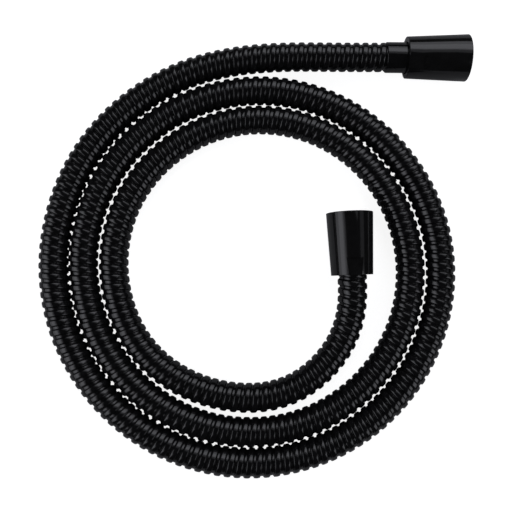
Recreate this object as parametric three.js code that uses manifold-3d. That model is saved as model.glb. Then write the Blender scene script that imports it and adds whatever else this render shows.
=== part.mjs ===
// Shower hose lying in a loose flat spiral of nearly three turns, as it comes
// out of its box. An interlocked metal strip hose carries a plastic water tube.
// Each end has a brass tail inside the tube, a sleeve crimped over the hose, and
// a conical coupling nut with its sealing washer. The nuts turn on the sleeves.
// Millimetres, +Z up. The hose rests on z = 0, and the origin is under the
// middle of the whole object.

import * as THREE from 'three';
import { mergeVertices } from 'three/addons/utils/BufferGeometryUtils.js';
import Module from 'manifold-3d';

const wasm = await Module();
wasm.setup();

// ---------------------------------------------------------------- dimensions

// Hose
const ARMOUR_HALF_HEIGHT = 7.15;   // over the raised bands, also the height of the axis over the floor
const ARMOUR_HALF_WIDTH = 6.75;    // a little under the band radius, so that the turns stay apart
const ARMOUR_INNER_R = 5.85;
const TUBE_OUTER_R = 5.05;
const TUBE_BORE_R = 4.15;
const ARMOUR_SIDES = 12;
const INNER_SIDES = 8;

// Hose end inside the sleeve
const STUB_OUTER_R = 6.35;
const STUB_INNER_R = 5.5;
const STUB_DEPTH = 9.0;
const TUBE_DEPTH = 16.6;           // how far the water tube reaches into the sleeve

// Sleeve (crimp ferrule)
const SLEEVE_OUTER_R = 7.49;
const SLEEVE_BORE_R = 6.7;
const SLEEVE_NECK_R = 3.85;
const SLEEVE_START = 0.3;
const SLEEVE_WALL_AT = 17.0;
const SLEEVE_END = 20.0;

// Brass tail
const TAIL_BORE_R = 2.75;
const TAIL_BARB_R = 3.45;
const TAIL_ROOT_R = 3.15;
const TAIL_TIP_AT = 2.5;
const COLLAR_R = 7.2;
const COLLAR_START = 20.3;
const FLANGE_R = 8.9;
const FLANGE_BACK = 25.4;
const FLANGE_FRONT = 27.4;

// Washer
const WASHER_BACK = 27.7;
const WASHER_FRONT = 29.7;
const WASHER_OUTER_R = 8.95;
const WASHER_INNER_R = 5.4;

// Coupling nut, G 1/2 inside
const NUT_LENGTH = 30.85;
const NUT_SMALL_R = 10.21;
const NUT_LARGE_R = 11.51;
const NUT_THREAD_R = 9.3;          // at the thread's crests; the thread's grooves are 10.48
const NUT_MOUTH_R = 10.4;
const NUT_SHOULDER_AT = 14.85;     // from the small end
const NUT_REAR_BORE_R = 7.85;
const NUT_FLAT_DIST = 9.76;        // two spanner flats, from the axis
const NUT_FLAT_LENGTH = 8.4;
const EXPOSED_OUTER = 10.25;       // bare sleeve between the hose and the outer nut
const EXPOSED_INNER = 0.3;         // the inner nut is slid back over its sleeve
const OUTER_FLAT_TURN = 30;        // degrees from straight up, towards -Y
const INNER_FLAT_TURN = 0;

// Ends of the hose: the point where it goes into its sleeve, and the direction
// of the fitting's axis from there
const OUTER_END = new THREE.Vector3(65.72, 99.18, 9.76);
const OUTER_DIR = new THREE.Vector3(0.99905, -0.0101, 0.04237).normalize();
const INNER_END = new THREE.Vector3(46.90, -12.36, 10.18);
const INNER_DIR = new THREE.Vector3(-0.03941, 0.99832, 0.04237).normalize();

// Route of the hose's middle line, from the outer end round to the inner end
const ROUTE = [
  [65.72, 99.18, 9.76], [39.87, 99.33, 8.78], [12.96, 99.23, 8], [-11.74, 96.77, 7.51],
  [-34.94, 90.43, 7.23], [-55.82, 79.31, 7.15], [-73.52, 64.06, 7.15], [-87.24, 45.42, 7.15],
  [-96.17, 24.26, 7.15], [-100.29, 1.81, 7.15], [-99.29, -20.94, 7.15], [-93.09, -42.83, 7.15],
  [-81.99, -62.69, 7.15], [-66.66, -79.55, 7.15], [-47.83, -92.47, 7.15], [-26.44, -100.65, 7.15],
  [-3.67, -103.52, 7.15], [19.17, -100.91, 7.15], [40.76, -92.99, 7.15], [59.8, -80.11, 7.15],
  [75.13, -63.04, 7.15], [85.8, -42.85, 7.15], [91.39, -20.85, 7.15], [91.52, 1.7, 7.15],
  [86.1, 23.38, 7.15], [75.68, 42.83, 7.15], [61.28, 59.16, 7.15], [43.68, 71.48, 7.15],
  [23.92, 79.14, 7.15], [3.23, 81.87, 7.15], [-17.21, 79.7, 7.15], [-36.37, 73.14, 7.15],
  [-53.31, 62.53, 7.15], [-67.32, 48.57, 7.15], [-77.73, 31.94, 7.15], [-84.08, 13.51, 7.15],
  [-86.1, -5.79, 7.15], [-83.61, -24.98, 7.15], [-76.91, -43.11, 7.15], [-66.25, -59.24, 7.15],
  [-52.18, -72.56, 7.15], [-35.34, -82.25, 7.15], [-16.65, -87.73, 7.15], [2.85, -88.61, 7.15],
  [22.01, -84.83, 7.15], [39.67, -76.52, 7.15], [54.79, -64.25, 7.15], [66.43, -48.75, 7.15],
  [73.94, -31.01, 7.15], [76.8, -12.12, 7.15], [75.08, 6.68, 7.15], [69, 24.31, 7.15],
  [59.07, 39.79, 7.15], [45.87, 52.21, 7.15], [30.37, 61.01, 7.15], [13.51, 65.78, 7.15],
  [-3.67, 66.49, 7.15], [-20.24, 63.21, 7.15], [-35.39, 56.45, 7.15], [-48.47, 46.66, 7.15],
  [-58.94, 34.36, 7.15], [-66.4, 20.19, 7.15], [-70.39, 4.78, 7.15], [-70.86, -11.08, 7.15],
  [-67.82, -26.63, 7.15], [-61.36, -41.14, 7.15], [-51.5, -53.62, 7.15], [-38.76, -63.04, 7.2],
  [-24.27, -69.2, 7.32], [-8.89, -72.04, 7.51], [6.68, -71.17, 7.77], [21.16, -65.75, 8.1],
  [33.04, -56.33, 8.5], [41.56, -44.42, 8.95], [46.08, -31.14, 9.44], [47.08, -17.98, 9.95],
  [46.9, -12.36, 10.18]
];

// ------------------------------------------------------------------- helpers

const mats = {
  armour: new THREE.MeshStandardMaterial({ name: 'armour', color: 0x0c0c0e, roughness: 0.22, metalness: 0.6 }),
  tube: new THREE.MeshStandardMaterial({ name: 'tube', color: 0xb9bcbd, roughness: 0.5, metalness: 0.0 }),
  sleeve: new THREE.MeshStandardMaterial({ name: 'sleeve', color: 0x0c0c0e, roughness: 0.2, metalness: 0.6 }),
  nut: new THREE.MeshStandardMaterial({ name: 'nut', color: 0x0b0b0c, roughness: 0.18, metalness: 0.6 }),
  brass: new THREE.MeshStandardMaterial({ name: 'brass', color: 0xc9a24a, roughness: 0.3, metalness: 1.0 }),
  rubber: new THREE.MeshStandardMaterial({ name: 'rubber', color: 0x141414, roughness: 0.75, metalness: 0.0 }),
};

// Shared corners merged, so that the surface is closed
function weld(geometry) {
  const g = geometry.clone();
  g.deleteAttribute('normal');
  g.deleteAttribute('uv');
  return mergeVertices(g, 1e-4);
}

function toSolid(geometry) {
  const g = weld(geometry);
  return new wasm.Manifold(new wasm.Mesh({
    numProp: 3,
    vertProperties: Float32Array.from(g.getAttribute('position').array),
    triVerts: Uint32Array.from(g.getIndex().array),
  }));
}

function toGeometry(solid) {
  const m = solid.getMesh();
  const g = new THREE.BufferGeometry();
  g.setAttribute('position', new THREE.BufferAttribute(Float32Array.from(m.vertProperties), 3));
  g.setIndex(new THREE.BufferAttribute(Uint32Array.from(m.triVerts), 1));
  g.computeVertexNormals();
  return g;
}

// Ring-shaped body turned about +Z from a closed profile of [radius, z]
function turned(profile, segments) {
  const pts = profile.map(([r, z]) => new THREE.Vector2(r, z));
  pts.push(pts[0].clone());
  const g = new THREE.LatheGeometry(pts, segments);
  g.rotateX(Math.PI / 2);
  return weld(g);
}

// A path of straight runs with a corner exactly at each given point
class Polyline extends THREE.Curve {
  constructor(points, startDir, endDir) {
    super();
    this.points = points;
    this.startDir = startDir;
    this.endDir = endDir;
  }
  getPoint(t, target = new THREE.Vector3()) {
    const last = this.points.length - 1;
    const f = t * last;
    const i = Math.min(Math.floor(f + 1e-9), last - 1);
    return target.lerpVectors(this.points[i], this.points[i + 1], f - i);
  }
  getPointAt(u, target) {
    return this.getPoint(u, target);
  }
  getTangentAt(u, target = new THREE.Vector3()) {
    const last = this.points.length - 1;
    const i = Math.round(u * last);
    if (i === 0) return target.copy(this.startDir);
    if (i === last) return target.copy(this.endDir);
    const a = this.points[i].clone().sub(this.points[i - 1]).normalize();
    const b = this.points[i + 1].clone().sub(this.points[i]).normalize();
    return target.copy(a.add(b).normalize());
  }
}

function ovalPoints(halfWidth, halfHeight, sides, phase) {
  const pts = [];
  for (let i = 0; i < sides; i++) {
    const a = ((i + phase) / sides) * Math.PI * 2;
    pts.push(new THREE.Vector2(halfWidth * Math.cos(a), halfHeight * Math.sin(a)));
  }
  return pts;
}

// Hollow tube swept along a path
function sweptTube(path, outer, inner) {
  const shape = new THREE.Shape(outer);
  shape.holes.push(new THREE.Path(inner.slice().reverse()));
  const g = new THREE.ExtrudeGeometry(shape, {
    steps: path.points.length - 1,
    extrudePath: path,
    curveSegments: 1,
    bevelEnabled: false,
  });
  return weld(g);
}

// Frame of a fitting: local +Z along its axis towards the mouth, local +X level,
// local +Y upwards
function fittingMatrix(origin, dir) {
  const x = new THREE.Vector3(0, 0, 1).cross(dir).normalize();
  const y = new THREE.Vector3().crossVectors(dir, x);
  return new THREE.Matrix4().makeBasis(x, y, dir).setPosition(origin);
}

// --------------------------------------------------------------------- hose

const routePoints = ROUTE.map((p) => new THREE.Vector3(p[0], p[1], p[2]));
routePoints[0].copy(OUTER_END);
routePoints[routePoints.length - 1].copy(INNER_END);
const startDir = OUTER_DIR.clone().negate();
const endDir = INNER_DIR.clone();

const outerMatrix = fittingMatrix(OUTER_END, OUTER_DIR);
const innerMatrix = fittingMatrix(INNER_END, INNER_DIR);

// The strip hose, with both of its ends swaged down to go inside the sleeves
function makeArmour() {
  const path = new Polyline(routePoints, startDir, endDir);
  const tube = toSolid(sweptTube(
    path,
    ovalPoints(ARMOUR_HALF_WIDTH, ARMOUR_HALF_HEIGHT, ARMOUR_SIDES, 0),
    ovalPoints(ARMOUR_INNER_R, ARMOUR_INNER_R, INNER_SIDES, 0.5),
  ));
  let body = tube;
  for (const m of [outerMatrix, innerMatrix]) {
    const stub = turned([
      [STUB_INNER_R, -1.0], [STUB_OUTER_R, -1.0], [STUB_OUTER_R, STUB_DEPTH], [STUB_INNER_R, STUB_DEPTH],
    ], 24);
    stub.applyMatrix4(m);
    body = body.add(toSolid(stub));
  }
  return toGeometry(body);
}

// The water tube, running on into both sleeves over the brass tails
function makeInnerTube() {
  const first = OUTER_END.clone().addScaledVector(OUTER_DIR, TUBE_DEPTH);
  const last = INNER_END.clone().addScaledVector(INNER_DIR, TUBE_DEPTH);
  const path = new Polyline([first, ...routePoints, last], startDir, endDir);
  return sweptTube(
    path,
    ovalPoints(TUBE_OUTER_R, TUBE_OUTER_R, INNER_SIDES, 0.5),
    ovalPoints(TUBE_BORE_R, TUBE_BORE_R, INNER_SIDES, 0.5),
  );
}

// ----------------------------------------------------------------- fittings

function makeSleeve() {
  return turned([
    [SLEEVE_BORE_R, SLEEVE_START], [SLEEVE_OUTER_R - 0.2, SLEEVE_START], [SLEEVE_OUTER_R, SLEEVE_START + 0.25],
    [SLEEVE_OUTER_R, SLEEVE_END - 0.4], [SLEEVE_OUTER_R - 0.4, SLEEVE_END],
    [SLEEVE_NECK_R, SLEEVE_END], [SLEEVE_NECK_R, SLEEVE_WALL_AT], [SLEEVE_BORE_R, SLEEVE_WALL_AT],
  ], 32);
}

function makeTail() {
  const barbs = [];
  for (let z = 16.4; z > TAIL_TIP_AT + 2; z -= 3.4) {
    barbs.push([TAIL_BARB_R, z], [TAIL_ROOT_R, z - 2.9], [TAIL_BARB_R, z - 3.4]);
  }
  return turned([
    [TAIL_BORE_R, FLANGE_FRONT - 0.6], [TAIL_BORE_R, TAIL_TIP_AT], [TAIL_ROOT_R, TAIL_TIP_AT],
    ...barbs.reverse().filter((p, i) => i > 0),
    [TAIL_BARB_R, COLLAR_START], [COLLAR_R, COLLAR_START],
    [COLLAR_R, FLANGE_BACK], [FLANGE_R, FLANGE_BACK], [FLANGE_R, FLANGE_FRONT - 0.3],
    [FLANGE_R - 0.3, FLANGE_FRONT], [TAIL_BORE_R + 0.6, FLANGE_FRONT],
  ], 28);
}

function makeWasher() {
  return turned([
    [WASHER_INNER_R, WASHER_BACK], [WASHER_OUTER_R, WASHER_BACK],
    [WASHER_OUTER_R, WASHER_FRONT], [WASHER_INNER_R, WASHER_FRONT],
  ], 32);
}

// Cone with a stepped bore; the thread's crests are the front bore. Two spanner
// flats at the small end stop at a ledge.
function makeNut(start, flatTurn) {
  const L = NUT_LENGTH;
  const cone = turned([
    [NUT_REAR_BORE_R + 0.4, 0], [NUT_SMALL_R - 0.45, 0], [NUT_SMALL_R - 0.1, 0.12], [NUT_SMALL_R + 0.02, 0.5],
    [NUT_LARGE_R - 0.01, L - 0.25], [NUT_LARGE_R - 0.25, L], [NUT_MOUTH_R, L], [NUT_THREAD_R, L - 1.1],
    [NUT_THREAD_R, NUT_SHOULDER_AT], [NUT_REAR_BORE_R, NUT_SHOULDER_AT], [NUT_REAR_BORE_R, 0.4],
  ], 48);
  let body = toSolid(cone);
  for (const side of [0, 180]) {
    const cutter = new THREE.BoxGeometry(30, 10, NUT_FLAT_LENGTH + 10);
    cutter.translate(0, NUT_FLAT_DIST + 5, NUT_FLAT_LENGTH / 2 - 5);
    cutter.rotateZ(THREE.MathUtils.degToRad(flatTurn + side));
    body = body.subtract(toSolid(cutter));
  }
  const g = toGeometry(body);
  g.translate(0, 0, start);
  return g;
}

// ----------------------------------------------------------------- assembly

const hose = new THREE.Group();
hose.name = 'shower_hose';

function add(parent, name, geometry, material) {
  const mesh = new THREE.Mesh(geometry, material);
  mesh.name = name;
  parent.add(mesh);
  return mesh;
}

add(hose, 'hose_armour', makeArmour(), mats.armour);
add(hose, 'inner_tube', makeInnerTube(), mats.tube);

for (const end of [
  { tag: 'outer', matrix: outerMatrix, exposed: EXPOSED_OUTER, flat: OUTER_FLAT_TURN },
  { tag: 'inner', matrix: innerMatrix, exposed: EXPOSED_INNER, flat: INNER_FLAT_TURN },
]) {
  const fitting = new THREE.Group();
  end.matrix.decompose(fitting.position, fitting.quaternion, fitting.scale);
  add(fitting, `ferrule_${end.tag}`, makeSleeve(), mats.sleeve.clone());
  add(fitting, `insert_${end.tag}`, makeTail(), mats.brass.clone());
  add(fitting, `washer_${end.tag}`, makeWasher(), mats.rubber.clone());
  add(fitting, `nut_${end.tag}`, makeNut(end.exposed, end.flat), mats.nut.clone());
  hose.add(fitting);
}

export default hose;
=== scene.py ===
"""Shower hose lying in a loose flat spiral of nearly three turns. An interlocked metal strip is wound round
a plastic water tube. Each end has a brass tail, a sleeve crimped over the hose, a sealing washer and a conical
coupling nut that turns on the sleeve. Metres, +Z up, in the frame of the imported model."""

import math

import bmesh
import bpy
import numpy as np
from mathutils import Matrix, Vector


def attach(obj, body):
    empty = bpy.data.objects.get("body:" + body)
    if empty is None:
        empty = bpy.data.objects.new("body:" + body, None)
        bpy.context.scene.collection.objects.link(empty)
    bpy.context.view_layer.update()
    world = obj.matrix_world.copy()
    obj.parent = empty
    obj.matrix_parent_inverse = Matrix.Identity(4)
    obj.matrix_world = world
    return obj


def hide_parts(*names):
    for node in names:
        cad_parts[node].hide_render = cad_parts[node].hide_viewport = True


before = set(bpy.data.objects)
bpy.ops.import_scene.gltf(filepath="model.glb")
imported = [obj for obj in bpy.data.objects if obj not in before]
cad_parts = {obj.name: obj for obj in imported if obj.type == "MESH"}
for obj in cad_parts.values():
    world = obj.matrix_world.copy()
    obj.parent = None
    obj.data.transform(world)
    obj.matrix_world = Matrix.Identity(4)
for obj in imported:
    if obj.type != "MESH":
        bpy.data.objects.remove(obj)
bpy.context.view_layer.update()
scene = bpy.context.scene
MM = 0.001

# ------------------------------------------------------------------ camera

cam_data = bpy.data.cameras.new("camera")
cam_data.lens = 46.371
cam_data.sensor_width = 36.0
cam_data.clip_start, cam_data.clip_end = 0.01, 20.0
camera = bpy.data.objects.new("camera", cam_data)
scene.collection.objects.link(camera)
CAM_X = Vector((0.9993903, 0.0, 0.0349150))
CAM_UP = Vector((-0.0028342, 0.9967000, 0.0811233))
CAM_BACK = Vector((-0.0347998, -0.0811728, 0.9960923))
camera.matrix_world = Matrix.Translation((-0.012123, -0.029242, 0.334968)) @ Matrix(
    (CAM_X, CAM_UP, CAM_BACK)
).transposed().to_4x4()
scene.camera = camera

# ------------------------------------------------------- route of the hose

OUTER_END = (0.06572, 0.09918, 0.00976)
OUTER_DIR = (0.99905, -0.0101, 0.04237)
INNER_END = (0.04690, -0.01236, 0.01018)
INNER_DIR = (-0.03941, 0.99832, 0.04237)
ROUTE = [
    (0.06572, 0.09918, 0.00976), (0.03987, 0.09933, 0.00878), (0.01296, 0.09923, 0.00800),
    (-0.01174, 0.09677, 0.00751), (-0.03494, 0.09043, 0.00723), (-0.05582, 0.07931, 0.00715),
    (-0.07352, 0.06406, 0.00715), (-0.08724, 0.04542, 0.00715), (-0.09617, 0.02426, 0.00715),
    (-0.10029, 0.00181, 0.00715), (-0.09929, -0.02094, 0.00715), (-0.09309, -0.04283, 0.00715),
    (-0.08199, -0.06269, 0.00715), (-0.06666, -0.07955, 0.00715), (-0.04783, -0.09247, 0.00715),
    (-0.02644, -0.10065, 0.00715), (-0.00367, -0.10352, 0.00715), (0.01917, -0.10091, 0.00715),
    (0.04076, -0.09299, 0.00715), (0.05980, -0.08011, 0.00715), (0.07513, -0.06304, 0.00715),
    (0.08580, -0.04285, 0.00715), (0.09139, -0.02085, 0.00715), (0.09152, 0.00170, 0.00715),
    (0.08610, 0.02338, 0.00715), (0.07568, 0.04283, 0.00715), (0.06128, 0.05916, 0.00715),
    (0.04368, 0.07148, 0.00715), (0.02392, 0.07914, 0.00715), (0.00323, 0.08187, 0.00715),
    (-0.01721, 0.07970, 0.00715), (-0.03637, 0.07314, 0.00715), (-0.05331, 0.06253, 0.00715),
    (-0.06732, 0.04857, 0.00715), (-0.07773, 0.03194, 0.00715), (-0.08408, 0.01351, 0.00715),
    (-0.08610, -0.00579, 0.00715), (-0.08361, -0.02498, 0.00715), (-0.07691, -0.04311, 0.00715),
    (-0.06625, -0.05924, 0.00715), (-0.05218, -0.07256, 0.00715), (-0.03534, -0.08225, 0.00715),
    (-0.01665, -0.08773, 0.00715), (0.00285, -0.08861, 0.00715), (0.02201, -0.08483, 0.00715),
    (0.03967, -0.07652, 0.00715), (0.05479, -0.06425, 0.00715), (0.06643, -0.04875, 0.00715),
    (0.07394, -0.03101, 0.00715), (0.07680, -0.01212, 0.00715), (0.07508, 0.00668, 0.00715),
    (0.06900, 0.02431, 0.00715), (0.05907, 0.03979, 0.00715), (0.04587, 0.05221, 0.00715),
    (0.03037, 0.06101, 0.00715), (0.01351, 0.06578, 0.00715), (-0.00367, 0.06649, 0.00715),
    (-0.02024, 0.06321, 0.00715), (-0.03539, 0.05645, 0.00715), (-0.04847, 0.04666, 0.00715),
    (-0.05894, 0.03436, 0.00715), (-0.06640, 0.02019, 0.00715), (-0.07039, 0.00478, 0.00715),
    (-0.07086, -0.01108, 0.00715), (-0.06782, -0.02663, 0.00715), (-0.06136, -0.04114, 0.00715),
    (-0.05150, -0.05362, 0.00715), (-0.03876, -0.06304, 0.00720), (-0.02427, -0.06920, 0.00732),
    (-0.00889, -0.07204, 0.00751), (0.00668, -0.07117, 0.00777), (0.02116, -0.06575, 0.00810),
    (0.03304, -0.05633, 0.00850), (0.04156, -0.04442, 0.00895), (0.04608, -0.03114, 0.00944),
    (0.04708, -0.01798, 0.00995), (0.04690, -0.01236, 0.01018),
]


def unit(v):
    v = np.asarray(v, float)
    return v / np.linalg.norm(v)


def clamped_spline(points, first, last):
    """Cubic spline through the points by chord length, with the end directions given.
    Returns a function of the chord length and its total."""
    p = np.asarray(points, float)
    t = np.r_[0, np.cumsum(np.linalg.norm(np.diff(p, axis=0), axis=1))]
    h = np.diff(t)
    n = len(p)
    a = np.zeros((n, n))
    b = np.zeros((n, 3))
    a[0, 0] = a[-1, -1] = 1
    b[0], b[-1] = unit(first), unit(last)
    for i in range(1, n - 1):
        a[i, i - 1], a[i, i], a[i, i + 1] = h[i], 2 * (h[i - 1] + h[i]), h[i - 1]
        b[i] = 3 * (
            h[i] * (p[i] - p[i - 1]) / h[i - 1] + h[i - 1] * (p[i + 1] - p[i]) / h[i]
        )
    m = np.linalg.solve(a, b)

    def at(x):
        x = np.clip(np.asarray(x, float), 0, t[-1])
        i = np.clip(np.searchsorted(t, x, side="right") - 1, 0, n - 2)
        d = h[i][:, None]
        u = ((x - t[i]) / h[i])[:, None]
        return (
            (2 * u**3 - 3 * u**2 + 1) * p[i]
            + (u**3 - 2 * u**2 + u) * d * m[i]
            + (3 * u**2 - 2 * u**3) * p[i + 1]
            + (u**3 - u**2) * d * m[i + 1]
        )

    return at, t[-1]


ROUTE[0], ROUTE[-1] = OUTER_END, INNER_END
line_at, line_total = clamped_spline(ROUTE, -unit(OUTER_DIR), unit(INNER_DIR))
LINE = line_at(np.linspace(0, line_total, 24001))
LINE_S = np.r_[0, np.cumsum(np.linalg.norm(np.diff(LINE, axis=0), axis=1))]
LINE_T = np.gradient(LINE, LINE_S, axis=0)
LINE_T[0], LINE_T[-1] = -unit(OUTER_DIR), unit(INNER_DIR)
LINE_T /= np.linalg.norm(LINE_T, axis=1)[:, None]
LINE_K = np.gradient(LINE_T, LINE_S, axis=0)  # curvature vector
for k in range(3):  # a little smoothing, because the spline's curvature has corners at its knots
    LINE_K[:, k] = np.convolve(
        np.pad(LINE_K[:, k], 150, mode="edge"), np.ones(301) / 301, "valid"
    )
TOTAL = float(LINE_S[-1])


def along(s, table):
    return np.stack([np.interp(s, LINE_S, table[:, k]) for k in range(3)], -1)


def place(s):
    """Point, direction, side (to the left of travel) and up at arc length s. Past the ends it runs straight on."""
    s = np.asarray(s, float)
    inside = np.clip(s, 0, TOTAL)
    t = along(inside, LINE_T)
    t /= np.linalg.norm(t, axis=-1, keepdims=True)
    p = along(inside, LINE) + (s - inside)[..., None] * t
    side = np.cross([0.0, 0.0, 1.0], t)
    side /= np.linalg.norm(side, axis=-1, keepdims=True)
    return p, t, side, np.cross(t, side)


# ---------------------------------------------------------- mesh utilities


def new_object(name, mesh, body):
    obj = bpy.data.objects.new(name, mesh)
    scene.collection.objects.link(obj)
    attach(obj, body)
    return obj


def mesh_from(name, verts, faces):
    mesh = bpy.data.meshes.new(name)
    mesh.from_pydata([tuple(v) for v in verts], [], [tuple(f) for f in faces])
    mesh.validate()
    mesh.update()
    return mesh


def smooth_by_angle(mesh, degrees):
    """Smooth shading with sharp edges where two faces meet at more than the angle."""
    bm = bmesh.new()
    bm.from_mesh(mesh)
    limit = math.radians(degrees)
    for f in bm.faces:
        f.smooth = True
    for e in bm.edges:
        e.smooth = len(e.link_faces) == 2 and e.calc_face_angle(0.0) < limit
    bm.to_mesh(mesh)
    bm.free()
    mesh.update()


# ------------------------------------------------------------ strip armour

RIB_PITCH = 4.58 * MM
# How many ribs the winding runs ahead of an even spacing, every 60 mm from 20 mm on
RIB_LEAD = [
    0.14, -0.10, -0.21, -0.22, -0.12, 0.05, 0.22, 0.32, 0.23, 0.08, -0.16, -0.36, -0.51,
    -0.58, -0.46, -0.36, -0.27, -0.35, -0.54, -0.76, -1.01, -1.04, -1.04, -0.98, -0.85,
]
# Section of the strip across one turn, in mm: a raised band, nearly flat on top, that slopes down from tightly
# rolled edges to a low band between it and the next turn
BAND_WIDTH = 3.48  # of the raised band at its foot
BAND_EDGE = [(0.0, 6.37), (0.41, 7.02), (0.54, 7.125), (0.71, 7.19), (1.06, 7.242)]  # in from the foot, radius
BAND_CROWN = 7.272  # radius along the raised band's middle
EDGE_LEAN = [(58, 56), (56, 35), (35, 16), (16, 7)]  # lean of the surface's normal along each piece of the edge
BAND_LOW = 6.31  # radius of the low band
BAND_FOOT = 0.04  # width of the corners between the two bands
BAND_AT = -0.304  # where along its turn the raised band's foot starts, in turns
ROUND = 22  # points round the hose
ARMOUR_INSIDE_R = 5.4 * MM
ARMOUR_TAIL = 1.6 * MM  # how far the strip goes on into each sleeve
SLEEVE_LAP = 0.6  # mm by which the outer sleeve's edge comes forward over the hose


def rib_start(k):
    """Arc length of the rolled edge of turn k, k not a whole number round the hose."""
    s = np.linspace(-0.03, TOTAL + 0.03, 4000)
    lead = np.interp(s, 0.020 + 0.060 * np.arange(len(RIB_LEAD)), RIB_LEAD)
    return np.interp(k, s / RIB_PITCH + lead + BAND_AT, s)


def band_section():
    """Rows of the raised band as (distance along the hose, radius), rows of the low band as (distance past its
    start, or back from its end if negative, radius), and for each strip between two rows the lean of the
    surface's normal at its start and its end, in degrees from straight out towards the direction of travel."""
    raised = list(BAND_EDGE) + [(BAND_WIDTH / 2, BAND_CROWN)]
    raised += [(BAND_WIDTH - q, radius) for q, radius in reversed(BAND_EDGE)]
    leans = [(-a, -b) for a, b in EDGE_LEAN]
    leans += [(-EDGE_LEAN[-1][1], 0), (0, EDGE_LEAN[-1][1])]
    leans += [(b, a) for a, b in reversed(EDGE_LEAN)]
    low = [(BAND_FOOT, BAND_LOW), (-BAND_FOOT, BAND_LOW)]
    leans += [(50, -4), (-4, 5), (5, -50)]
    return raised, low, leans


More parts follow.
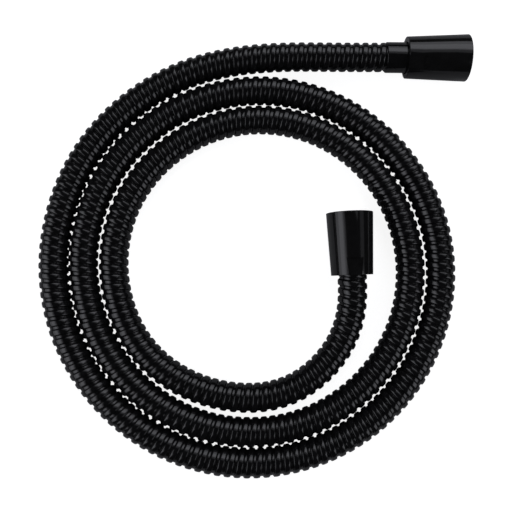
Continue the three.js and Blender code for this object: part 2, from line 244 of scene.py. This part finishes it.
def make_armour():
    raised, low, leans = band_section()
    per_turn = len(raised) + len(low)
    k_first = math.floor((-ARMOUR_TAIL / RIB_PITCH + RIB_LEAD[0] + BAND_AT - 2.2))
    k_last = math.ceil((TOTAL + ARMOUR_TAIL) / RIB_PITCH + RIB_LEAD[-1] + BAND_AT + 2.2)
    columns = (k_last - k_first) * ROUND + 1
    i = np.arange(columns)
    turn = k_first + i / ROUND
    angle = 2 * np.pi * turn  # from straight up towards the side
    s0 = rib_start(turn)
    step = rib_start(turn + 1) - s0
    _, _, side, up = place(s0)
    out = np.cos(angle)[:, None] * up + np.sin(angle)[:, None] * side
    bend = along(np.clip(s0, 0, TOTAL), LINE_K)
    stretch = 1 - 6.9 * MM * (bend * out).sum(1)
    rows_s, rows_r = [], []
    for q, radius in raised:
        rows_s.append(s0 + q * MM / stretch)
        rows_r.append(np.full(columns, radius * MM))
    for q, radius in low:
        rows_s.append(s0 + q * MM + (BAND_WIDTH * MM / stretch if q > 0 else step))
        rows_r.append(np.full(columns, radius * MM))
    s = np.stack(rows_s, 1)
    r = np.stack(rows_r, 1)
    # Both ends are swaged down where they go inside the sleeves
    for deep in (SLEEVE_LAP * MM - s, s - TOTAL - 0.2 * MM):
        r = np.minimum(r, np.interp(deep, [-0.30 * MM, 0.08 * MM, 1 * MM], [7.5 * MM, 6.62 * MM, 6.55 * MM]))
    p, t, side, up = place(s)
    a = angle[:, None, None]
    out = np.cos(a) * up + np.sin(a) * side
    verts = (p + r[..., None] * out).reshape(-1, 3)
    # where the surface's normal leans to: along the hose, square to the winding
    lean = (t - (step[:, None] / (2 * np.pi * r))[..., None] * (np.cos(a) * side - np.sin(a) * up)).reshape(-1, 3)
    out = out.reshape(-1, 3)
    faces, normals = [], []
    grid = np.arange(columns * per_turn).reshape(columns, per_turn)
    for j in range(per_turn):
        if j + 1 < per_turn:
            a0, a1 = grid[:-1, j], grid[1:, j]
            b0, b1 = grid[:-1, j + 1], grid[1:, j + 1]
        else:
            a0, a1 = grid[: -ROUND - 1, j], grid[1:-ROUND, j]
            b0, b1 = grid[ROUND:-1, 0], grid[ROUND + 1 :, 0]
        quad = np.stack([a0, b0, b1, a1], 1)
        w = np.radians([leans[j][0], leans[j][1], leans[j][1], leans[j][0]])[None, :, None]
        faces.append(quad)
        normals.append(np.cos(w) * out[quad] + np.sin(w) * lean[quad])
    faces = np.vstack(faces)
    normals = np.vstack(normals).reshape(-1, 3)
    normals /= np.linalg.norm(normals, axis=1)[:, None]
    mesh = bpy.data.meshes.new("hose_armour_skin")
    mesh.from_pydata(verts.tolist(), [], faces.tolist())
    kept = mesh.attributes.new("band_normal", "FLOAT_VECTOR", "CORNER")
    kept.data.foreach_set("vector", normals.astype(np.float32).ravel())
    bm = bmesh.new()
    bm.from_mesh(mesh)
    # cut both ends square, inside the sleeves
    for at, sign in ((-ARMOUR_TAIL, -1), (TOTAL + ARMOUR_TAIL, 1)):
        point, direction, _, _ = place(np.array(at))
        normal = Vector(direction * sign)
        point = Vector(point)
        near = [v for v in bm.verts if (v.co - point).length < 0.022]
        inside = set(near)
        edges = {e for v in near for e in v.link_edges if e.other_vert(v) in inside}
        fcs = {f for v in near for f in v.link_faces if all(w in inside for w in f.verts)}
        bmesh.ops.bisect_plane(
            bm, geom=near + list(edges) + list(fcs), dist=1e-7, plane_co=point, plane_no=normal, clear_outer=True
        )
    # the inside wall
    n_in, sides_in = 240, 12
    ring_s = np.linspace(-ARMOUR_TAIL, TOTAL + ARMOUR_TAIL, n_in)
    p, _, side, up = place(ring_s)
    rings = []
    for k in range(n_in):
        ring = []
        for m in range(sides_in):
            th = 2 * math.pi * m / sides_in
            co = p[k] + ARMOUR_INSIDE_R * (math.cos(th) * up[k] + math.sin(th) * side[k])
            ring.append(bm.verts.new(co))
        rings.append(ring)
    for k in range(n_in - 1):
        for m in range(sides_in):
            m2 = (m + 1) % sides_in
            bm.faces.new((rings[k][m], rings[k][m2], rings[k + 1][m2], rings[k + 1][m]))
    # ring-shaped ends between the outside and the inside
    for k, at in ((0, -ARMOUR_TAIL), (n_in - 1, TOTAL + ARMOUR_TAIL)):
        point, direction, _, _ = place(np.array(at))
        point, direction = Vector(point), Vector(direction)
        loop = [
            e
            for e in bm.edges
            if len(e.link_faces) == 1 and all((v.co - point).length < 0.009 for v in e.verts)
            and all(abs((v.co - point).dot(direction)) < 2e-6 for v in e.verts)
        ]
        bmesh.ops.triangle_fill(bm, use_beauty=True, use_dissolve=False, edges=loop)
    bmesh.ops.remove_doubles(bm, verts=bm.verts[:], dist=1e-7)
    bmesh.ops.recalc_face_normals(bm, faces=bm.faces[:])
    open_edges = sum(1 for e in bm.edges if len(e.link_faces) != 2)
    triangles = sum(len(f.verts) - 2 for f in bm.faces)
    print("armour: faces", len(bm.faces), "triangles", triangles, "open edges", open_edges)
    for f in bm.faces:
        f.smooth = True
    bm.to_mesh(mesh)
    bm.free()
    mesh.update()
    # the bands' own normals, so that flat bands shade flat right up to their rolled edges
    kept = mesh.attributes["band_normal"]
    normals = np.empty(len(mesh.loops) * 3, np.float32)
    kept.data.foreach_get("vector", normals)
    mesh.attributes.remove(kept)
    normals = normals.reshape(-1, 3)
    size = np.linalg.norm(normals, axis=1)
    normals = np.where(size[:, None] > 0.3, normals / np.maximum(size, 1e-6)[:, None], 0.0)
    mesh.normals_split_custom_set([tuple(n) for n in normals.tolist()])
    return mesh


armour = new_object("strip_armour", make_armour(), "hose")
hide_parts("hose_armour")

# ---------------------------------------------------------------- fittings


def fitting_matrix(end, direction):
    """Local +Z along the fitting's axis towards its mouth, +X level, +Y upwards."""
    z = Vector(unit(direction))
    x = Vector((0, 0, 1)).cross(z).normalized()
    y = z.cross(x)
    return Matrix.Translation(end) @ Matrix((x, y, z)).transposed().to_4x4()


def rounded(profile, radii, steps=5):
    """A closed profile of (radius, z) in mm with some of its corners rounded. radii is {corner: radius}."""
    out = []
    n = len(profile)
    for i, p in enumerate(profile):
        rad = radii.get(i, 0)
        if not rad:
            out.append(tuple(p))
            continue
        p = np.array(p, float)
        a = np.array(profile[i - 1], float) - p
        b = np.array(profile[(i + 1) % n], float) - p
        la, lb = np.linalg.norm(a), np.linalg.norm(b)
        a, b = a / la, b / lb
        half = math.acos(max(-1, min(1, float(a @ b)))) / 2
        reach = min(rad / math.tan(half), 0.49 * la, 0.49 * lb)
        true = reach * math.tan(half)
        centre = p + unit(a + b) * (true / math.sin(half))
        start, end = p + a * reach - centre, p + b * reach - centre
        sweep = math.atan2(start[0] * end[1] - start[1] * end[0], float(start @ end))
        for k in range(steps + 1):
            w = sweep * k / steps
            out.append(
                (
                    centre[0] + start[0] * math.cos(w) - start[1] * math.sin(w),
                    centre[1] + start[0] * math.sin(w) + start[1] * math.cos(w),
                )
            )
    return out


def turned(name, profile, segments, matrix, shift=0.0):
    """Ring-shaped mesh turned about the fitting's axis from a closed profile of (radius, z) in mm."""
    bm = bmesh.new()
    rings = []
    for k in range(segments):
        th = 2 * math.pi * k / segments
        rings.append([
            bm.verts.new((r * MM * math.cos(th), r * MM * math.sin(th), (z + shift) * MM)) for r, z in profile
        ])
    m = len(profile)
    for k in range(segments):
        a, b = rings[k], rings[(k + 1) % segments]
        for j in range(m):
            j2 = (j + 1) % m
            bm.faces.new((a[j], b[j], b[j2], a[j2]))
    bmesh.ops.recalc_face_normals(bm, faces=bm.faces[:])
    mesh = bpy.data.meshes.new(name)
    bm.to_mesh(mesh)
    bm.free()
    if matrix is not None:
        mesh.transform(matrix)
    return mesh


def make_sleeve(name, matrix, start):
    profile = [
        (6.66, start), (7.58, start), (7.58, 20.0), (3.85, 20.0), (3.85, 17.0), (6.66, 17.0),
    ]
    mesh = turned(name, rounded(profile, {0: 0.2, 1: 0.34, 2: 0.4, 3: 0.15}), 96, matrix)
    smooth_by_angle(mesh, 40)
    return mesh


def make_tail(name, matrix):
    profile = [(2.75, 26.8), (2.75, 2.5), (3.15, 2.5)]
    z = 2.8
    while z < 16:
        profile += [(3.45, z + 3.3), (3.15, z + 3.4)]
        z += 3.4
    profile += [
        (3.15, 20.3), (7.2, 20.3), (7.2, 25.4), (8.9, 25.4), (8.9, 27.1), (8.6, 27.4), (7.9, 27.4), (7.75, 27.25),
        (7.45, 27.25), (7.3, 27.4), (6.7, 27.4), (6.55, 27.25), (6.25, 27.25), (6.1, 27.4), (3.35, 27.4),
    ]
    mesh = turned(name, profile, 96, matrix)
    smooth_by_angle(mesh, 25)
    return mesh


def make_washer(name, matrix):
    profile = [(5.4, 27.7), (8.95, 27.7), (8.95, 29.7), (5.4, 29.7)]
    mesh = turned(name, rounded(profile, {0: 0.25, 1: 0.35, 2: 0.35, 3: 0.25}), 96, matrix)
    smooth_by_angle(mesh, 60)
    return mesh


NUT_LENGTH = 31.05
THREAD_PITCH = 1.814
THREAD_FROM = 15.9  # from the small end
THREAD_TO = 29.7


def thread(segments=96):
    """The nut's inside wall from the shoulder to the mouth, with its thread, as rings of points (x, y, z) in mm.
    The groove follows a helix and fades out at both ends."""
    steps = 92
    z = np.linspace(14.85, NUT_LENGTH - 0.0, steps)
    rows = []
    for k in range(segments):
        th = 2 * math.pi * k / segments
        phase = (z / THREAD_PITCH - k / segments) % 1.0
        v = 1 - np.abs(2 * phase - 1)  # 0 at the crest's middle, 1 at the groove's bottom
        depth = 1.16 * np.clip((v - 0.14) / 0.72, 0, 1)
        depth *= np.clip((z - THREAD_FROM) / 1.2, 0, 1)
        radius = 9.3 + depth
        radius = np.maximum(radius, 10.45 - (NUT_LENGTH - 0.25 - z) * 1.0)  # the mouth's countersink
        radius = np.minimum(radius, 10.5)
        rows.append(np.stack([radius * math.cos(th), radius * math.sin(th), z], 1))
    return np.array(rows)


def make_nut(name, matrix, start, flat_turn):
    segments = 96
    small, large, end = 10.34, 11.64, NUT_LENGTH
    outside = rounded(
        [(7.85, 0.0), (small, 0.0), (large, end), (10.45, end)], {0: 0.3, 1: 0.28, 2: 0.35}, 6
    )[:-1]
    extra = []  # a few rings between the ends of the cone, so that the faces stay short
    for i, (r, z) in enumerate(outside):
        if extra and z - extra[-1][1] > 15:
            r0, z0 = extra[-1]
            for w in (0.25, 0.5, 0.75):
                extra.append((r0 + (r - r0) * w, z0 + (z - z0) * w))
        extra.append((r, z))
    outside = extra
    inner = thread(segments)
    bm = bmesh.new()
    rings = []
    for k in range(segments):
        th = 2 * math.pi * k / segments
        ring = [(r * math.cos(th), r * math.sin(th), z) for r, z in outside]
        ring += [tuple(p) for p in inner[k][::-1]]
        ring += [(7.85 * math.cos(th), 7.85 * math.sin(th), 14.85)]
        rings.append([bm.verts.new((x * MM, y * MM, z * MM)) for x, y, z in ring])
    m = len(rings[0])
    for k in range(segments):
        a, b = rings[k], rings[(k + 1) % segments]
        for j in range(m):
            j2 = (j + 1) % m
            bm.faces.new((a[j], b[j], b[j2], a[j2]))
    bmesh.ops.recalc_face_normals(bm, faces=bm.faces[:])
    mesh = bpy.data.meshes.new(name)
    bm.to_mesh(mesh)
    bm.free()
    # two spanner flats that stop at a ledge
    body = bpy.data.objects.new(name + "_body", mesh)
    scene.collection.objects.link(body)
    cut = bpy.data.meshes.new(name + "_cut")
    bm = bmesh.new()
    for turn in (0, 180):
        th = math.radians(90 + flat_turn + turn)
        away = Vector((math.cos(th), math.sin(th), 0))
        across = Vector((-math.sin(th), math.cos(th), 0))
        corners = []
        for z in (-5.0, 8.4):
            for c, d in ((-9, 9.85), (9, 9.85), (9, 15), (-9, 15)):
                corners.append(bm.verts.new((away * d + across * c + Vector((0, 0, z))) * MM))
        for q in ((0, 3, 2, 1), (4, 5, 6, 7), (0, 1, 5, 4), (1, 2, 6, 5), (2, 3, 7, 6), (3, 0, 4, 7)):
            bm.faces.new([corners[c] for c in q])
    bmesh.ops.recalc_face_normals(bm, faces=bm.faces[:])
    bm.to_mesh(cut)
    bm.free()
    cutter = bpy.data.objects.new(name + "_cutter", cut)
    scene.collection.objects.link(cutter)
    mod = body.modifiers.new("flats", "BOOLEAN")
    mod.operation = "DIFFERENCE"
    mod.solver = "EXACT"
    mod.object = cutter
    bpy.context.view_layer.update()
    done = bpy.data.meshes.new_from_object(body.evaluated_get(bpy.context.evaluated_depsgraph_get()))
    done.name = name
    bpy.data.objects.remove(body)
    bpy.data.objects.remove(cutter)
    # the ledges' outer edges are broken
    bm = bmesh.new()
    bm.from_mesh(done)
    rims = [
        e
        for e in bm.edges
        if all(abs(v.co.z - 8.4 * MM) < 2e-6 and v.co.xy.length > 10.5 * MM for v in e.verts)
        and e.calc_face_angle(0.0) > 0.9
    ]
    bmesh.ops.bevel(
        bm, geom=rims, offset=0.16 * MM, offset_type="OFFSET", segments=2, profile=0.5, affect="EDGES",
        clamp_overlap=True,
    )
    print(name, "edges broken", len(rims), "open edges", sum(1 for e in bm.edges if len(e.link_faces) != 2))
    bm.to_mesh(done)
    bm.free()
    done.transform(matrix @ Matrix.Translation((0, 0, start * MM)))
    smooth_by_angle(done, 16.6)  # the flats meet the cone at 18 degrees and more
    return done


# ----------------------------------------------------------------- materials


def material(name):
    mat = bpy.data.materials.new(name)
    mat.use_nodes = True
    tree = mat.node_tree
    tree.nodes.clear()
    out = tree.nodes.new("ShaderNodeOutputMaterial")
    bsdf = tree.nodes.new("ShaderNodeBsdfPrincipled")
    tree.links.new(bsdf.outputs["BSDF"], out.inputs["Surface"])
    return mat, tree, bsdf


def noise(tree, scale, detail=3.0, roughness=0.55, stretch=None):
    coord = tree.nodes.new("ShaderNodeTexCoord")
    tex = tree.nodes.new("ShaderNodeTexNoise")
    tex.inputs["Scale"].default_value = scale
    tex.inputs["Detail"].default_value = detail
    tex.inputs["Roughness"].default_value = roughness
    if stretch:
        mapping = tree.nodes.new("ShaderNodeMapping")
        mapping.inputs["Scale"].default_value = stretch
        tree.links.new(coord.outputs["Object"], mapping.inputs["Vector"])
        tree.links.new(mapping.outputs["Vector"], tex.inputs["Vector"])
    else:
        tree.links.new(coord.outputs["Object"], tex.inputs["Vector"])
    return tex


def ramp(tree, source, stops):
    node = tree.nodes.new("ShaderNodeValToRGB")
    elements = node.color_ramp.elements
    while len(elements) < len(stops):
        elements.new(0.5)
    for e, (at, colour) in zip(elements, stops):
        e.position = at
        e.color = (*colour, 1) if len(colour) == 3 else colour
    tree.links.new(source, node.inputs["Fac"])
    return node


def spread(tree, source, low, high, a=0.0, b=1.0):
    node = tree.nodes.new("ShaderNodeMapRange")
    node.inputs["From Min"].default_value = a
    node.inputs["From Max"].default_value = b
    node.inputs["To Min"].default_value = low
    node.inputs["To Max"].default_value = high
    tree.links.new(source, node.inputs["Value"])
    return node


def bump(tree, bsdf, source, strength, distance, under=None):
    node = tree.nodes.new("ShaderNodeBump")
    node.inputs["Strength"].default_value = strength
    node.inputs["Distance"].default_value = distance
    tree.links.new(source, node.inputs["Height"])
    if under is not None:
        tree.links.new(under.outputs["Normal"], node.inputs["Normal"])
    tree.links.new(node.outputs["Normal"], bsdf.inputs["Normal"])
    return node


def black_gloss(name, dark, light, rough_low, rough_high):
    """Gloss black lacquer: nearly black, with a faint mottle, orange peel and fine rub marks."""
    mat, tree, bsdf = material(name)
    mottle = noise(tree, 260, 4)
    col = ramp(tree, mottle.outputs["Fac"], [(0.3, dark), (0.7, light)])
    tree.links.new(col.outputs["Color"], bsdf.inputs["Base Color"])
    rub = noise(tree, 900, 5, 0.65)
    rough = spread(tree, rub.outputs["Fac"], rough_low, rough_high, 0.3, 0.7)
    tree.links.new(rough.outputs["Result"], bsdf.inputs["Roughness"])
    peel = noise(tree, 1400, 2)
    first = bump(tree, bsdf, peel.outputs["Fac"], 0.05, 0.00005)
    marks = noise(tree, 420, 6, 0.7, stretch=(1.0, 6.0, 2.0))
    bump(tree, bsdf, marks.outputs["Fac"], 0.025, 0.00004, first)
    bsdf.inputs["IOR"].default_value = 1.5
    return mat


armour_mat = black_gloss("black_strip", (0.0036, 0.0036, 0.0040), (0.0066, 0.0066, 0.0072), 0.07, 0.15)
sleeve_mat = black_gloss("black_sleeve", (0.0034, 0.0034, 0.0037), (0.0056, 0.0056, 0.0060), 0.08, 0.15)
nut_mat = black_gloss("black_nut", (0.0044, 0.0044, 0.0046), (0.0070, 0.0070, 0.0073), 0.08, 0.15)

brass_mat, tree, bsdf = material("turned_brass")
tone = noise(tree, 180, 4)
col = ramp(tree, tone.outputs["Fac"], [(0.25, (0.50, 0.32, 0.10)), (0.55, (0.66, 0.45, 0.17)), (0.8, (0.72, 0.52, 0.22))])
tree.links.new(col.outputs["Color"], bsdf.inputs["Base Color"])
bsdf.inputs["Metallic"].default_value = 1.0
rub = noise(tree, 1500, 5)
rough = spread(tree, rub.outputs["Fac"], 0.20, 0.42, 0.3, 0.7)
tree.links.new(rough.outputs["Result"], bsdf.inputs["Roughness"])
bump(tree, bsdf, rub.outputs["Fac"], 0.25, 0.00004)

washer_mat, tree, bsdf = material("black_rubber")
tone = noise(tree, 500, 5)
col = ramp(tree, tone.outputs["Fac"], [(0.3, (0.010, 0.010, 0.010)), (0.75, (0.022, 0.021, 0.020))])
tree.links.new(col.outputs["Color"], bsdf.inputs["Base Color"])
rough = spread(tree, tone.outputs["Fac"], 0.60, 0.85, 0.3, 0.7)
tree.links.new(rough.outputs["Result"], bsdf.inputs["Roughness"])
grain = noise(tree, 3500, 3)
bump(tree, bsdf, grain.outputs["Fac"], 0.35, 0.00008)

tube_mat, tree, bsdf = material("milky_tube")
tone = noise(tree, 120, 3)
col = ramp(tree, tone.outputs["Fac"], [(0.3, (0.52, 0.54, 0.55)), (0.7, (0.63, 0.65, 0.66))])
tree.links.new(col.outputs["Color"], bsdf.inputs["Base Color"])
rough = spread(tree, tone.outputs["Fac"], 0.38, 0.55, 0.3, 0.7)
tree.links.new(rough.outputs["Result"], bsdf.inputs["Roughness"])
bump(tree, bsdf, tone.outputs["Fac"], 0.1, 0.0001)


def dress(obj, mat):
    obj.data.materials.clear()
    obj.data.materials.append(mat)


dress(armour, armour_mat)
for end, matrix, sleeve_from, exposed, flat, nut_body in (
    ("outer", fitting_matrix(OUTER_END, OUTER_DIR), 0.3 - SLEEVE_LAP, 10.0, 30, "outer_nut"),
    ("inner", fitting_matrix(INNER_END, INNER_DIR), 0.3, 0.25, 0, "inner_nut"),
):
    for kind, mesh, mat, slot, body, node in (
        ("sleeve", make_sleeve("sleeve_" + end, matrix, sleeve_from), sleeve_mat, "sleeve", "hose", "ferrule_"),
        ("tail", make_tail("tail_" + end, matrix), brass_mat, "brass", "hose", "insert_"),
        ("seal", make_washer("seal_" + end, matrix), washer_mat, "washer", "hose", "washer_"),
        ("coupling", make_nut("coupling_" + end, matrix, exposed, flat), nut_mat, "nut", nut_body, "nut_"),
    ):
        piece = new_object(f"{kind}_{end}", mesh, body)
        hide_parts(node + end)
        dress(piece, mat)
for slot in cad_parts["inner_tube"].material_slots:
    slot.material = tube_mat

# -------------------------------------------------------------------- stage

bm = bmesh.new()
corners = [bm.verts.new((x, y, -0.15 * MM)) for x, y in ((-4, -4), (4, -4), (4, 4), (-4, 4))]
bm.faces.new(corners)
floor_mesh = bpy.data.meshes.new("floor")
bm.to_mesh(floor_mesh)
bm.free()
floor = bpy.data.objects.new("floor", floor_mesh)
scene.collection.objects.link(floor)
floor_mat = bpy.data.materials.new("pale_floor")
floor_mat.use_nodes = True
tree = floor_mat.node_tree
tree.nodes.clear()
out = tree.nodes.new("ShaderNodeOutputMaterial")
diffuse = tree.nodes.new("ShaderNodeBsdfDiffuse")
diffuse.inputs["Color"].default_value = (0.50, 0.50, 0.50, 1)
glow = tree.nodes.new("ShaderNodeEmission")
glow.inputs["Color"].default_value = (1, 1, 1, 1)
path = tree.nodes.new("ShaderNodeLightPath")
amount = tree.nodes.new("ShaderNodeMath")
amount.operation = "MULTIPLY"
amount.inputs[1].default_value = 0.90
tree.links.new(path.outputs["Is Camera Ray"], amount.inputs[0])
tree.links.new(amount.outputs[0], glow.inputs["Strength"])
both = tree.nodes.new("ShaderNodeAddShader")
tree.links.new(diffuse.outputs[0], both.inputs[0])
tree.links.new(glow.outputs[0], both.inputs[1])
tree.links.new(both.outputs[0], out.inputs["Surface"])
floor.data.materials.append(floor_mat)

world = bpy.data.worlds.new("studio")
scene.world = world
world.use_nodes = True
tree = world.node_tree
tree.nodes.clear()
out = tree.nodes.new("ShaderNodeOutputWorld")
bg = tree.nodes.new("ShaderNodeBackground")
path = tree.nodes.new("ShaderNodeLightPath")
amount = tree.nodes.new("ShaderNodeMapRange")
amount.inputs["To Min"].default_value = 0.02
amount.inputs["To Max"].default_value = 0.95
tree.links.new(path.outputs["Is Camera Ray"], amount.inputs["Value"])
tree.links.new(amount.outputs["Result"], bg.inputs["Strength"])
bg.inputs["Color"].default_value = (1, 1, 1, 1)
tree.links.new(bg.outputs[0], out.inputs["Surface"])


def softbox(name, azimuth, low, high, width, radiance, distance=1.5):
    """Softbox seen from the object at that azimuth, from low to high degrees from straight up and width degrees
    wide, its sides level and upright."""
    light = bpy.data.lights.new(name, "AREA")
    light.shape = "RECTANGLE"
    light.size = 2 * distance * math.tan(math.radians(width / 2))
    light.size_y = 2 * distance * math.tan(math.radians((high - low) / 2))
    light.energy = radiance * math.pi * light.size * light.size_y
    light.color = (0.975, 0.985, 1.06)
    obj = bpy.data.objects.new(name, light)
    a, p = math.radians(azimuth), math.radians((low + high) / 2)
    place_at = Vector((math.sin(p) * math.cos(a), math.sin(p) * math.sin(a), math.cos(p))) * distance
    obj.location = place_at
    obj.rotation_mode = "QUATERNION"
    obj.rotation_quaternion = (-place_at).to_track_quat("-Z", "Y")
    obj.visible_camera = False
    scene.collection.objects.link(obj)


# Three softboxes, each brightest in its middle and fading towards its top, and a dim one in the corner between two
softbox("softbox_left", 195, 38, 82, 63, 1.05)
softbox("softbox_left_middle", 195, 44, 66, 50, 0.62, 1.52)
softbox("softbox_left_top", 195, 30, 38, 56, 0.40)
softbox("softbox_back", 66, 27, 69, 48, 1.05)
softbox("softbox_back_middle", 68, 31, 54, 40, 0.62, 1.52)
softbox("softbox_back_top", 66, 15, 27, 50, 0.35)
softbox("softbox_right", -31, 38, 76, 34, 0.92)
softbox("softbox_right_middle", -31, 44, 66, 26, 0.52, 1.52)
softbox("softbox_corner", 8, 42, 62, 40, 0.22)

scene.view_settings.view_transform = "Standard"
